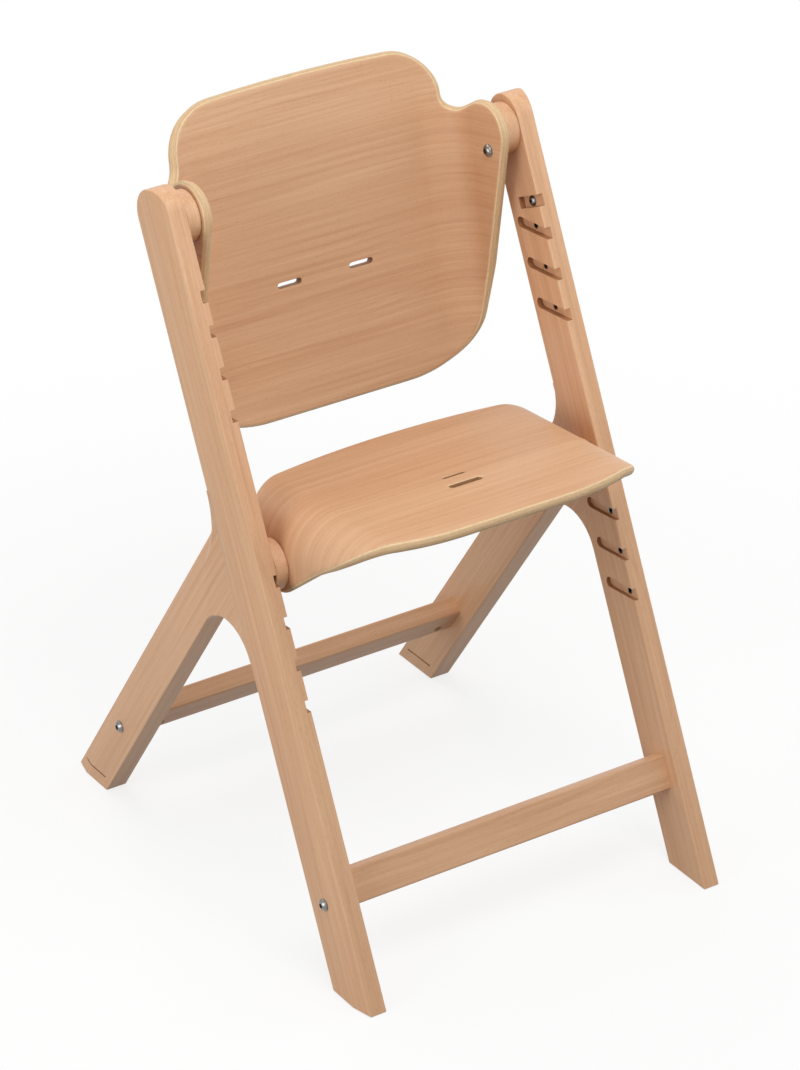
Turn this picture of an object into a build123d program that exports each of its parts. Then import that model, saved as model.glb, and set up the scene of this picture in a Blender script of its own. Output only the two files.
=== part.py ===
from build123d import *

import os
from math import atan, cos, radians, sin, sqrt, tan

# A child's high chair in solid beech and moulded plywood, in millimetres.
# +Z is up, the chair faces -Y, and the origin lies on the floor under the
# middle of the footprint. Each side is a leaning front rail with a rear leg
# glued to its back edge. Two crossbars tie the sides. The backrest tilts on
# two bolts, and the seat hangs by two keys in slots of the rails.

# Overall frame
WIDTH = 460.0  # over the outer faces of the two sides
DEPTH = 596.0  # front foot to rear foot on the floor
SIDE_T = 25.5  # thickness of rails and legs

# Front rail
RAIL_W = 57.0
RAIL_L = 881.5  # along the front edge, floor to the round top
RAIL_LEAN = 25.5  # degrees back from upright
BEVEL_D = 5.7  # depth of the long bevels, into the thickness
RAIL_BEVEL = 22.4  # width of the rail's bevel across its outer face

# Rear leg
LEG_W = 56.0
LEG_LEAN = 34.4  # degrees forward from upright
LEG_BEVEL = 19.0  # width of the leg's bevel across its outer face
ARCH_R = 50.5  # arch between leg and rail
WEB_R = 55.0  # hollow curve between the leg's back edge and the rail
GLUE_STEP = 1.2  # blunt ends of the glued joint
SLIT_Z = 15.6  # underside of the slit through the foot
SLIT_T = 2.2
SLIT_FRONT = 12.7  # wood left in front of the slit
SLIT_BACK = 9.0  # wood left behind it
JOINT_DOWEL_R = 5.0
JOINT_DOWEL_L = 50.0
JOINT_DOWEL_DROP = 30.0  # upper dowel below the leg's back corner
JOINT_DOWEL_PITCH = 45.0

# Slots in the rails' inner faces
SLOT_W = 12.0
UPPER_SLOT_L = 53.0  # along the slot, mouth to the round end
LOWER_SLOT_L = 49.0
SLOT_DROOP = 5.5  # degrees down towards the back
SLOT_PITCH = 44.4
UPPER_SLOT_S = 726.6  # highest sloping slot, along the rail
UPPER_SLOTS = 3
UPPER_SLOT_D = 6.8
LOWER_SLOT_S = 463.2
LOWER_SLOTS = 4
LOWER_SLOT_D = 4.9
TOP_SLOT_S = 762.8  # square slot above the others
TOP_SLOT_W = 13.0
TOP_SLOT_L = 37.5
INSERT_L = 10.0
UPPER_INSERT_R = 4.0
UPPER_INSERT_AT = 28.7  # from the slot's mouth
UPPER_INSERT_BORE_R = 2.5
LOWER_INSERT_R = 4.5
LOWER_INSERT_AT = 12.8
LOWER_INSERT_BORE_R = 2.5
LOWER_INSERT_AF = 5.6
LOWER_INSERT_HEX_D = 4.0
TOP_SCREW_AT = 20.8
TOP_SCREW_R = 3.0
TOP_SCREW_L = 10.0
TOP_SCREW_HEAD_R = 5.75
TOP_SCREW_HEAD_H = 3.3
TOP_SCREW_AF = 4.0

# Crossbars
BAR_H = 38.0
BAR_T = 22.0
BAR_EDGE_R = 2.0
FRONT_BAR_S = 132.5  # bar's middle, along the rail
REAR_BAR_S = 114.2  # bar's middle, along the leg
BAR_PAIR = 9.7  # bolt below and dowel above the bar's middle
BAR_DOWEL_R = 4.0
BAR_DOWEL_L = 34.0
BAR_BOLT_REACH = 27.0  # bolt's length inside the bar
BARREL_R = 5.0
BARREL_L = 14.0
BARREL_AT = 20.0  # from the bar's end

# Large button-head bolts
BOLT_R = 4.0
HEAD_R = 7.0
HEAD_H = 4.4
HEAD_RIM = 1.0
SOCKET_AF = 5.0
SOCKET_D = 2.4

# Plywood and spacers
PLY_T = 11.5
SPACER_R = 27.6
SPACER_T = 16.0
SPACER_EDGE_R = 1.5

# Backrest
PIVOT_S = 826.0  # pivot bolt, along the rail
BACK_SPACER_UP = 19.3  # spacer's middle above the pivot, along the rail
BACK_LEAN = 13.0
BACK_SETBACK = 68.7  # pivot to the front face
BACK_BEND_R = 40.0
BACK_TOP = 116.2  # heights from the pivot, along the panel
BACK_CROWN_R = 2000.0
BACK_BOTTOM = -244.3
STRAP_H = -101.2
STRAP_X = 44.8
STRAP_L = 29.6
STRAP_W = 6.5
HEAD_INSET = 15.0  # head's side edge, inside the wing's inner face
HEAD_CORNER_R = 55.0
NOTCH_H = 40.5
NOTCH_FLAT = 1.0  # level floor between the notch's two curves
NOTCH_RISE = 29.0  # degrees, from the notch up to the ear
NOTCH_R = 15.0
EAR_R = 33.5
WING_SLOPE = 21.3  # degrees from the panel's upright
LOWER_CORNER_R = 80.0
LOWER_FLAT = 5.0  # least half length of the straight lower edge
PIVOT_INSERT_R = 6.0
PIVOT_INSERT_L = 16.0

# Seat
KEY_AT = 32.2  # key's middle from the slot's mouth
KEY_L = 32.0
KEY_SUNK = 5.0  # key's depth inside the spacer
SEAT_SPACER_UP = 3.8  # spacer's middle above the key
SEAT_RISE = 62.8  # spacer's middle to the seat's top
SEAT_FORE = 170.5  # spacer's middle to the front edge
SEAT_AFT = 83.3  # spacer's middle to the rear edge
SEAT_BEND_R = 50.0
SEAT_REAR_DROP = 22.6  # bow of the rear edge, from its middle to a flange
SEAT_REAR_CORNER_R = 36.0
SEAT_FRONT_R = 130.0
FLANGE_R = 33.5
FLANGE_FRONT = 33.5  # degrees below the seat
FLANGE_REAR = 21.4  # degrees from square to the seat
SEAT_SLOT_L = 40.0
SEAT_SLOT_W = 8.0
SEAT_SLOT_FORE = 76.1  # from the spacer's middle
SEAT_GROOVE_L = 28.0
SEAT_GROOVE_W = 3.8
SEAT_GROOVE_FORE = 54.3
SEAT_BOLT_R = 3.0
SEAT_BOLT_HEAD_R = 5.25
SEAT_BOLT_HEAD_H = 3.3
SEAT_BOLT_AF = 4.0

# Clearances
FIT = 0.05  # round a fastener or dowel in its hole
RUN = 0.08  # round the backrest's pivot bolt
SLIP = 0.3  # between pieces that slide past each other
END_GAP = 0.5  # at the bottom of a blind hole
TIP = 1.0  # thread's end short of a blind face
CUT = 400.0  # reach of through cuts

HALF_W = WIDTH / 2
INNER_X = HALF_W - SIDE_T
BEVEL_X = HALF_W - BEVEL_D
PANEL_X = INNER_X - SPACER_T
FRONT_FOOT_Y = -DEPTH / 2
REAR_FOOT_Y = DEPTH / 2

lean = radians(RAIL_LEAN)
kick = radians(LEG_LEAN)
droop = radians(SLOT_DROOP)
tilt = radians(BACK_LEAN)

RAIL_UP = Vector(0, sin(lean), cos(lean))
RAIL_BACK = Vector(0, cos(lean), -sin(lean))
LEG_UP = Vector(0, -sin(kick), cos(kick))
LEG_BACK = Vector(0, cos(kick), sin(kick))
SLOT_IN = Vector(0, cos(droop), -sin(droop))
SLOT_OVER = Vector(0, sin(droop), cos(droop))
SIDE = Vector(1, 0, 0)


def rail_point(along, across):
    """Point on the rail, from the foot of its front edge."""
    return Vector(0, FRONT_FOOT_Y, 0) + RAIL_UP * along + RAIL_BACK * across


def leg_point(along, across):
    """Point on the leg, from the foot of its front edge."""
    foot = Vector(0, REAR_FOOT_Y - LEG_W / cos(kick), 0)
    return foot + LEG_UP * along + LEG_BACK * across


def slot_point(along, depth):
    """Point on a slot's middle line, from its mouth on the rail's front edge."""
    return rail_point(along, 0) + SLOT_IN * depth


def yz(point):
    """Coordinates of a point seen from the side."""
    return (point.Y, point.Z)


def crossing(start, way, other, other_way):
    """Point where two lines cross, seen from the side."""
    gap = other - start
    span = way.Y * other_way.Z - way.Z * other_way.Y
    reach = (gap.Y * other_way.Z - gap.Z * other_way.Y) / span
    return start + way * reach


def rail_plane(x):
    """Plane on the side at x, with the rail's back and up as its axes."""
    return Plane(
        origin=(x, FRONT_FOOT_Y, 0),
        x_dir=tuple(RAIL_BACK),
        z_dir=(1, 0, 0),
    )


def rail_outline():
    """Rail's outline on the inner face, with its round top."""
    radius = RAIL_W / 2
    shoulder = RAIL_L - radius
    with BuildSketch(rail_plane(INNER_X)) as face:
        with BuildLine():
            Line((0, 0), (0, shoulder))
            ThreePointArc((0, shoulder), (radius, RAIL_L), (RAIL_W, shoulder))
            Line((RAIL_W, shoulder), (RAIL_W, RAIL_W * tan(lean)))
            Line((RAIL_W, RAIL_W * tan(lean)), (0, 0))
        make_face()
    return face.sketch


def leg_face(x, bevel):
    """Leg's outline whose back edge lies inside the full outline."""
    front_foot = leg_point(0, 0)
    front_foot = crossing(front_foot, LEG_UP, Vector(0, 0, 0), Vector(0, 1, 0))
    rear_foot = Vector(0, REAR_FOOT_Y - bevel / cos(kick), 0)
    half = (lean + kick) / 2
    wide = radians(90) - half
    edge = rail_point(0, RAIL_W + GLUE_STEP)

    arch_apex = crossing(front_foot, LEG_UP, edge, RAIL_UP)
    arch_run = ARCH_R / tan(half)
    arch_leg = arch_apex - LEG_UP * arch_run
    arch_rail = arch_apex - RAIL_UP * arch_run
    arch_way = (LEG_UP + RAIL_UP).normalized() * -1
    arch_mid = arch_apex + arch_way * (ARCH_R / sin(half) - ARCH_R)

    back_apex = crossing(Vector(0, REAR_FOOT_Y, 0), LEG_UP, edge, RAIL_UP)
    web_rail = back_apex + RAIL_UP * (WEB_R / tan(wide))
    web_apex = crossing(rear_foot, LEG_UP, edge, RAIL_UP)
    web_run = (web_rail - web_apex).length
    web_leg = web_apex - LEG_UP * web_run
    web_r = web_run * tan(wide)
    web_way = (RAIL_UP - LEG_UP).normalized()
    web_mid = web_apex + web_way * (web_r / sin(wide) - web_r)

    with BuildSketch(Plane.YZ.offset(x)) as face:
        with BuildLine():
            Polyline(yz(arch_leg), yz(front_foot), yz(rear_foot), yz(web_leg))
            ThreePointArc(yz(web_leg), yz(web_mid), yz(web_rail))
            Polyline(
                yz(web_rail),
                yz(web_rail - RAIL_BACK * GLUE_STEP),
                yz(arch_rail - RAIL_BACK * GLUE_STEP),
                yz(arch_rail),
            )
            ThreePointArc(yz(arch_rail), yz(arch_mid), yz(arch_leg))
        make_face()
    return face.sketch


def bores(x, depth, radius, points):
    """Round holes along +X into the piece, from the plane at x."""
    with BuildSketch(Plane.YZ.offset(x)) as circles:
        with Locations(*[yz(point) for point in points]):
            Circle(radius)
    extrude(circles.sketch, amount=depth, mode=Mode.SUBTRACT)


def rods(x, length, radius, points):
    """Round rods along +X, from the plane at x."""
    with BuildSketch(Plane.YZ.offset(x)) as circles:
        with Locations(*[yz(point) for point in points]):
            Circle(radius)
    extrude(circles.sketch, amount=length)


def button_bolt(x, point, out, shank_r, shank_l, head_r, head_h, across_flats):
    """Button-head bolt whose head sits at x and faces out along X."""
    seat = Vector(x, point.Y, point.Z)
    with BuildSketch(Plane(origin=seat, x_dir=(0, 1, 0), z_dir=(0, 0, -out))) as half:
        with BuildLine():
            Polyline(
                (across_flats / 2 + HEAD_RIM, head_h),
                (0, head_h),
                (0, -shank_l),
                (shank_r, -shank_l),
                (shank_r, 0),
                (head_r, 0),
                (head_r, HEAD_RIM),
            )
            RadiusArc(
                (head_r, HEAD_RIM),
                (across_flats / 2 + HEAD_RIM, head_h),
                -head_r,
            )
        make_face()
    revolve(half.sketch, axis=Axis(seat, SIDE))
    crown = Plane(origin=seat + SIDE * out * head_h, x_dir=(0, 1, 0), z_dir=(out, 0, 0))
    with BuildSketch(crown) as socket:
        RegularPolygon(across_flats / 2, 6, major_radius=False)
    extrude(socket.sketch, amount=-SOCKET_D, mode=Mode.SUBTRACT)


def slot_cut(along, length, depth):
    """Sloping slot, open at the rail's front edge, in the inner face."""
    with BuildSketch(rail_plane(INNER_X)) as slot:
        with Locations(Location((0, along, 0), (0, 0, RAIL_LEAN - SLOT_DROOP))):
            SlotOverall(2 * length, SLOT_W)
    extrude(slot.sketch, amount=depth, mode=Mode.SUBTRACT)


upper_slots = [UPPER_SLOT_S - SLOT_PITCH * i for i in range(UPPER_SLOTS)]
lower_slots = [LOWER_SLOT_S - SLOT_PITCH * i for i in range(LOWER_SLOTS)]
upper_inserts = [slot_point(along, UPPER_INSERT_AT) for along in upper_slots]
lower_inserts = [slot_point(along, LOWER_INSERT_AT) for along in lower_slots]
top_screw = rail_point(TOP_SLOT_S, TOP_SCREW_AT)

front_bar = rail_point(FRONT_BAR_S, RAIL_W / 2)
front_bolt = front_bar - RAIL_UP * BAR_PAIR
front_dowel = front_bar + RAIL_UP * BAR_PAIR
rear_bar = leg_point(REAR_BAR_S, LEG_W / 2)
rear_bolt = rear_bar - LEG_UP * BAR_PAIR
rear_dowel = rear_bar + LEG_UP * BAR_PAIR

pivot = rail_point(PIVOT_S, RAIL_W / 2)
back_spacer = rail_point(PIVOT_S + BACK_SPACER_UP, RAIL_W / 2)
seat_key = slot_point(LOWER_SLOT_S, KEY_AT)
seat_spacer = seat_key + SLOT_OVER * SEAT_SPACER_UP

# Dowels of the glued joint lie across the rail's back edge.
back_corner = crossing(
    Vector(0, REAR_FOOT_Y, 0), LEG_UP, rail_point(0, RAIL_W), RAIL_UP
)
joint_upper = back_corner - RAIL_UP * JOINT_DOWEL_DROP
joint_lower = joint_upper - RAIL_UP * JOINT_DOWEL_PITCH
joint_points = [point + SIDE * (INNER_X + SIDE_T / 2) for point in (joint_upper, joint_lower)]


def joint_rods(radius, length, mode):
    """Rods centred on the glued joint, square to the rail's back edge."""
    for point in joint_points:
        with BuildSketch(Plane(origin=point, x_dir=(1, 0, 0), z_dir=tuple(RAIL_BACK))) as circle:
            Circle(radius)
        extrude(circle.sketch, amount=length / 2, both=True, mode=mode)


# Front rails, with one straight bevel along the outer face's front edge.
with BuildPart() as front_rail_right:
    extrude(rail_outline(), amount=SIDE_T)
    with BuildSketch(
        Plane(
            origin=rail_point(0, 0) + SIDE * HALF_W,
            x_dir=tuple(RAIL_BACK),
            z_dir=tuple(RAIL_UP),
        )
    ):
        Polygon((0, 0), (RAIL_BEVEL, 0), (0, BEVEL_D), align=None)
    extrude(amount=RAIL_L, both=True, mode=Mode.SUBTRACT)
    for slot_along in upper_slots:
        slot_cut(slot_along, UPPER_SLOT_L, UPPER_SLOT_D)
    for slot_along in lower_slots:
        slot_cut(slot_along, LOWER_SLOT_L, LOWER_SLOT_D)
    with BuildSketch(rail_plane(INNER_X)):
        with Locations((0, TOP_SLOT_S)):
            Rectangle(2 * TOP_SLOT_L, TOP_SLOT_W)
    extrude(amount=UPPER_SLOT_D, mode=Mode.SUBTRACT)
    bores(INNER_X + UPPER_SLOT_D, INSERT_L + END_GAP, UPPER_INSERT_R + FIT, upper_inserts)
    bores(INNER_X + LOWER_SLOT_D, INSERT_L + END_GAP, LOWER_INSERT_R + FIT, lower_inserts)
    bores(INNER_X + UPPER_SLOT_D, TOP_SCREW_L + END_GAP, TOP_SCREW_R + FIT, [top_screw])
    bores(INNER_X, PIVOT_INSERT_L + END_GAP, PIVOT_INSERT_R + FIT, [pivot])
    bores(INNER_X, SIDE_T, BOLT_R + FIT, [front_bolt])
    bores(INNER_X, BAR_DOWEL_L / 2 + END_GAP, BAR_DOWEL_R + FIT, [front_dowel])
    joint_rods(JOINT_DOWEL_R + FIT, JOINT_DOWEL_L + 2 * END_GAP, Mode.SUBTRACT)

with BuildPart() as front_rail_left:
    mirror(front_rail_right.part, about=Plane.YZ)

# Rear legs, with the slit through the foot.
with BuildPart() as rear_leg_right:
    extrude(leg_face(INNER_X, 0), amount=SIDE_T - BEVEL_D)
    loft([leg_face(BEVEL_X, 0), leg_face(HALF_W, LEG_BEVEL)], ruled=True)
    slit_z = SLIT_Z + SLIT_T / 2
    slit_l = LEG_W / cos(kick) - SLIT_FRONT - SLIT_BACK
    slit_y = leg_point(slit_z / cos(kick), 0).Y + SLIT_FRONT + slit_l / 2
    with BuildSketch(Plane.YZ.offset(INNER_X)):
        with Locations((slit_y, slit_z)):
            SlotOverall(slit_l, SLIT_T)
    extrude(amount=SIDE_T, mode=Mode.SUBTRACT)
    bores(INNER_X, SIDE_T, BOLT_R + FIT, [rear_bolt])
    bores(INNER_X, BAR_DOWEL_L / 2 + END_GAP, BAR_DOWEL_R + FIT, [rear_dowel])
    joint_rods(JOINT_DOWEL_R + FIT, JOINT_DOWEL_L + 2 * END_GAP, Mode.SUBTRACT)

with BuildPart() as rear_leg_left:
    mirror(rear_leg_right.part, about=Plane.YZ)

with BuildPart() as joint_dowels:
    joint_rods(JOINT_DOWEL_R, JOINT_DOWEL_L, Mode.ADD)
    mirror(about=Plane.YZ)


def crossbar(middle, back, up, nut_face):
    """Bar between the sides; nut_face is the side its nuts are put in from."""
    section = Plane(origin=middle - SIDE * INNER_X, x_dir=tuple(back), z_dir=(1, 0, 0))
    with BuildSketch(section) as bar:
        RectangleRounded(BAR_T, BAR_H, BAR_EDGE_R)
    extrude(bar.sketch, amount=2 * INNER_X)
    bolt = middle - up * BAR_PAIR
    dowel = middle + up * BAR_PAIR
    for end in (-INNER_X, INNER_X - BAR_BOLT_REACH - END_GAP):
        bores(end, BAR_BOLT_REACH + END_GAP, BOLT_R + FIT, [bolt])
    for end in (-INNER_X, INNER_X - BAR_DOWEL_L / 2 - END_GAP):
        bores(end, BAR_DOWEL_L / 2 + END_GAP, BAR_DOWEL_R + FIT, [dowel])
    mouth = bolt - back * (nut_face * BARREL_L / 2)
    with BuildSketch(Plane(origin=mouth, x_dir=(1, 0, 0), z_dir=tuple(back * nut_face))) as nuts:
        with Locations((INNER_X - BARREL_AT, 0), (BARREL_AT - INNER_X, 0)):
            Circle(BARREL_R + FIT)
    extrude(nuts.sketch, amount=BAR_T, mode=Mode.SUBTRACT)


def barrel_nuts(bolt, back):
    """Pair of barrel nuts across a bar, drilled for its bolts."""
    with BuildSketch(Plane(origin=bolt, x_dir=(1, 0, 0), z_dir=tuple(back))) as nuts:
        with Locations((INNER_X - BARREL_AT, 0), (BARREL_AT - INNER_X, 0)):
            Circle(BARREL_R)
    extrude(nuts.sketch, amount=BARREL_L / 2, both=True)
    bores(-INNER_X, 2 * INNER_X, BOLT_R + FIT, [bolt])


with BuildPart() as front_crossbar:
    crossbar(front_bar, RAIL_BACK, RAIL_UP, 1)

with BuildPart() as rear_crossbar:
    crossbar(rear_bar, LEG_BACK, LEG_UP, -1)

with BuildPart() as crossbar_nuts:
    barrel_nuts(front_bolt, RAIL_BACK)
    barrel_nuts(rear_bolt, LEG_BACK)

bar_bolt_l = SIDE_T + BAR_BOLT_REACH
with BuildPart() as crossbar_bolts:
    for bolt_point in (front_bolt, rear_bolt):
        for bolt_side in (-1, 1):
            button_bolt(
                bolt_side * HALF_W,
                bolt_point,
                bolt_side,
                BOLT_R,
                bar_bolt_l,
                HEAD_R,
                HEAD_H,
                SOCKET_AF,
            )

with BuildPart() as crossbar_dowels:
    for rod_x in (-INNER_X - BAR_DOWEL_L / 2, INNER_X - BAR_DOWEL_L / 2):
        rods(rod_x, BAR_DOWEL_L, BAR_DOWEL_R, [front_dowel, rear_dowel])

# Threaded inserts in the floors of the slots, and the screw in the top slot.
with BuildPart() as upper_slot_inserts:
    rods(INNER_X + UPPER_SLOT_D, INSERT_L, UPPER_INSERT_R, upper_inserts)
    bores(INNER_X + UPPER_SLOT_D, INSERT_L, UPPER_INSERT_BORE_R, upper_inserts)
    mirror(about=Plane.YZ)

with BuildPart() as lower_slot_inserts:
    rods(INNER_X + LOWER_SLOT_D, INSERT_L, LOWER_INSERT_R, lower_inserts)
    bores(INNER_X + LOWER_SLOT_D, INSERT_L, LOWER_INSERT_BORE_R, lower_inserts)
    with BuildSketch(Plane.YZ.offset(INNER_X + LOWER_SLOT_D)):
        with Locations(*[yz(point) for point in lower_inserts]):
            RegularPolygon(LOWER_INSERT_AF / 2, 6, major_radius=False)
    extrude(amount=LOWER_INSERT_HEX_D, mode=Mode.SUBTRACT)
    mirror(about=Plane.YZ)

with BuildPart() as top_slot_screws:
    for screw_side in (-1, 1):
        button_bolt(
            screw_side * (INNER_X + UPPER_SLOT_D),
            top_screw,
            -screw_side,
            TOP_SCREW_R,
            TOP_SCREW_L,
            TOP_SCREW_HEAD_R,
            TOP_SCREW_HEAD_H,
            TOP_SCREW_AF,
        )

# Backrest spacers, pivot bolts and the inserts the bolts turn into.
with BuildPart() as back_spacer_right:
    rods(PANEL_X + SLIP, SPACER_T - SLIP, SPACER_R, [back_spacer])
    fillet(back_spacer_right.edges(), SPACER_EDGE_R)
    bores(PANEL_X + SLIP, SPACER_T, BOLT_R + FIT, [pivot])

with BuildPart() as back_spacer_left:
    mirror(back_spacer_right.part, about=Plane.YZ)

with BuildPart() as pivot_inserts:
    rods(INNER_X, PIVOT_INSERT_L, PIVOT_INSERT_R, [pivot])
    bores(INNER_X, PIVOT_INSERT_L, BOLT_R + FIT, [pivot])
    mirror(about=Plane.YZ)

pivot_head_x = PANEL_X - PLY_T - SLIP
with BuildPart() as pivot_bolts:
    for bolt_side in (-1, 1):
        button_bolt(
            bolt_side * pivot_head_x,
            pivot,
            -bolt_side,
            BOLT_R,
            INNER_X + PIVOT_INSERT_L - pivot_head_x,
            HEAD_R,
            HEAD_H,
            SOCKET_AF,
        )

# Backrest: a mould with the panel's front surface is trimmed to the outline,
# and the trimmed surface is thickened outwards by the plywood.
BACK_UP = Vector(0, sin(tilt), cos(tilt))
BACK_OUT = Vector(0, cos(tilt), -sin(tilt))
back_side = Plane(origin=pivot, x_dir=tuple(BACK_OUT), z_dir=(1, 0, 0))
back_front = Plane(
    origin=pivot + BACK_OUT * BACK_SETBACK,
    x_dir=(1, 0, 0),
    z_dir=tuple(BACK_OUT * -1),
)
back_corner_view = Plane(
    origin=pivot,
    x_dir=tuple(SIDE - BACK_OUT),
    z_dir=tuple(SIDE * -1 - BACK_OUT),
)
wing_x = PANEL_X - PLY_T
bend_x = wing_x - BACK_BEND_R
head_half = wing_x - HEAD_INSET
bend_q = BACK_SETBACK - BACK_BEND_R
ear_q = (back_spacer - pivot).dot(BACK_OUT)
ear_h = (back_spacer - pivot).dot(BACK_UP)
wing = radians(WING_SLOPE)
ear_touch = (ear_q - EAR_R * cos(wing), ear_h - EAR_R * sin(wing))
mould_front = ear_q - 2 * EAR_R

# In the corner view the wing's front edge runs straight to the lower corner.
edge_start = ((wing_x - ear_touch[0]) / sqrt(2), ear_touch[1])
edge_corner = edge_start[0] - (ear_touch[1] - BACK_BOTTOM) * tan(wing) / sqrt(2)
lower_half = (radians(90) - atan(tan(wing) / sqrt(2))) / 2
lower_r = min(LOWER_CORNER_R, (edge_corner - LOWER_FLAT) / tan(lower_half))
head_q = bend_q + sqrt(BACK_BEND_R**2 - (head_half - bend_x) ** 2)
notch_start = (head_half - head_q) / sqrt(2)
notch_end = notch_start + NOTCH_R + NOTCH_FLAT + NOTCH_R * tan(radians(NOTCH_RISE) / 2)
ear_top = ear_h + EAR_R
ear_end = notch_end + (ear_top - NOTCH_H) / tan(radians(NOTCH_RISE))
head_x = head_half - HEAD_CORNER_R
crown_gap = BACK_CROWN_R - HEAD_CORNER_R
head_h = BACK_TOP - BACK_CROWN_R + sqrt(crown_gap**2 - head_x**2)
crown_x = head_x * BACK_CROWN_R / crown_gap

with BuildPart() as back_mould:
    with BuildSketch(
        Plane(origin=pivot + BACK_UP * BACK_BOTTOM, x_dir=(1, 0, 0), z_dir=tuple(BACK_UP))
    ):
        with BuildLine():
            Polyline((bend_x, BACK_SETBACK), (0, BACK_SETBACK), (0, mould_front))
            Polyline((0, mould_front), (wing_x, mould_front), (wing_x, bend_q))
            JernArc((wing_x, bend_q), (0, 1), BACK_BEND_R, 90)
        make_face()
    extrude(amount=BACK_TOP - BACK_BOTTOM)
    with BuildSketch(back_side):
        Polygon(
            (mould_front, ear_touch[1]),
            (mould_front, BACK_TOP),
            (ear_q, BACK_TOP),
            (ear_q, ear_h),
            ear_touch,
            align=None,
        )
        with Locations((ear_q, ear_h)):
            Circle(EAR_R, mode=Mode.SUBTRACT)
    extrude(amount=CUT, both=True, mode=Mode.SUBTRACT)
    with BuildSketch(back_corner_view):
        with BuildLine():
            FilletPolyline(
                edge_start,
                (edge_corner, BACK_BOTTOM),
                (0, BACK_BOTTOM),
                radius=lower_r,
            )
            Polyline(
                (0, BACK_BOTTOM),
                (0, BACK_BOTTOM - CUT),
                (CUT, BACK_BOTTOM - CUT),
                (CUT, edge_start[1]),
                edge_start,
            )
        make_face()
    extrude(amount=CUT, both=True, mode=Mode.SUBTRACT)
    with BuildSketch(back_corner_view):
        with BuildLine():
            FilletPolyline(
                (notch_start, BACK_TOP + CUT),
                (notch_start, NOTCH_H),
                (notch_end, NOTCH_H),
                (ear_end, ear_top),
                (CUT, ear_top),
                radius=NOTCH_R,
            )
            Polyline((CUT, ear_top), (CUT, BACK_TOP + CUT), (notch_start, BACK_TOP + CUT))
        make_face()
    extrude(amount=CUT, both=True, mode=Mode.SUBTRACT)
    with BuildSketch(back_front):
        with Locations((crown_x, head_h)):
            Rectangle(CUT, CUT, align=Align.MIN)
        with Locations((head_x, head_h)):
            Circle(HEAD_CORNER_R, mode=Mode.SUBTRACT)
    extrude(amount=CUT, both=True, mode=Mode.SUBTRACT)
    with BuildSketch(back_front):
        with Locations((0, BACK_TOP)):
            Rectangle(WIDTH, HEAD_CORNER_R)
        with Locations((0, BACK_TOP - BACK_CROWN_R)):
            Circle(BACK_CROWN_R, mode=Mode.SUBTRACT)
    extrude(amount=CUT, both=True, mode=Mode.SUBTRACT)
    mirror(about=Plane.YZ)

back_axis = Axis(pivot, BACK_OUT)
back_bends = [
    face
    for face in back_mould.faces().filter_by(GeomType.CYLINDER)
    if abs(face.axis_of_rotation.direction.dot(BACK_UP)) > 0.999
]
back_surface = [
    back_mould.faces().sort_by(back_axis)[-1],
    back_mould.faces().sort_by(Axis.X)[-1],
    back_mould.faces().sort_by(Axis.X)[0],
    *back_bends,
]

with BuildPart() as backrest:
    thicken(back_surface, amount=PLY_T)
    with BuildSketch(back_front):
        with Locations((-STRAP_X, STRAP_H), (STRAP_X, STRAP_H)):
            SlotOverall(STRAP_L, STRAP_W)
    extrude(amount=2 * PLY_T, both=True, mode=Mode.SUBTRACT)
    with BuildSketch(back_side):
        Circle(BOLT_R + RUN)
    extrude(amount=CUT, both=True, mode=Mode.SUBTRACT)

# Seat: the same way, from a mould with the seat's upper surface. It lies
# along the slots, and its sketches are measured from the spacer's middle.
seat_bend_x = PANEL_X - SEAT_BEND_R
seat_bend_g = SEAT_RISE - SEAT_BEND_R
seat_low = -FLANGE_R - SLIP
rake = radians(FLANGE_FRONT)
back_rake = radians(FLANGE_REAR)
front_touch = (-FLANGE_R * sin(rake), -FLANGE_R * cos(rake))
rear_touch = (FLANGE_R * cos(back_rake), -FLANGE_R * sin(back_rake))

seat_section = Plane(
    origin=seat_spacer + SLOT_IN * SEAT_AFT,
    x_dir=(1, 0, 0),
    z_dir=tuple(SLOT_IN * -1),
)
seat_side = Plane(origin=seat_spacer, x_dir=tuple(SLOT_IN), z_dir=(1, 0, 0))
seat_plan = Plane(
    origin=seat_spacer + SLOT_OVER * SEAT_RISE,
    x_dir=(1, 0, 0),
    z_dir=tuple(SLOT_OVER),
)
seat_corner_view = Plane(
    origin=seat_spacer + SLOT_OVER * SEAT_RISE,
    x_dir=tuple(SIDE - SLOT_OVER),
    z_dir=tuple(SIDE + SLOT_OVER),
)

# In the corner view the flange's front edge runs straight to the front corner,
# and its rear edge turns by a curve into the arc of the seat's rear edge.
touch_e = (PANEL_X + SEAT_RISE - front_touch[1]) / sqrt(2)
corner_e = touch_e - (front_touch[0] + SEAT_FORE) * tan(rake) / sqrt(2)
rear_start = Vector((PANEL_X + SEAT_RISE - rear_touch[1]) / sqrt(2), rear_touch[0])
rear_way = Vector(-1 / sqrt(2), tan(back_rake)).normalized()
rear_inward = Vector(-rear_way.Y, rear_way.X)
flange_e = PANEL_X / sqrt(2)
rear_r = (flange_e**2 + SEAT_REAR_DROP**2) / (2 * SEAT_REAR_DROP)
rear_centre = Vector(0, SEAT_AFT - rear_r)
rear_gap = rear_start + rear_inward * SEAT_REAR_CORNER_R - rear_centre
rear_half = rear_gap.dot(rear_way)
rear_reach = rear_gap.dot(rear_gap) - (rear_r - SEAT_REAR_CORNER_R) ** 2
rear_run = sqrt(rear_half**2 - rear_reach) - rear_half
rear_line_end = rear_start + rear_way * rear_run
turn_centre = rear_line_end + rear_inward * SEAT_REAR_CORNER_R
turn_way = (turn_centre - rear_centre).normalized()
rear_arc_end = rear_centre + turn_way * rear_r
turn_mid = turn_centre + (turn_way - rear_inward).normalized() * SEAT_REAR_CORNER_R
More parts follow.
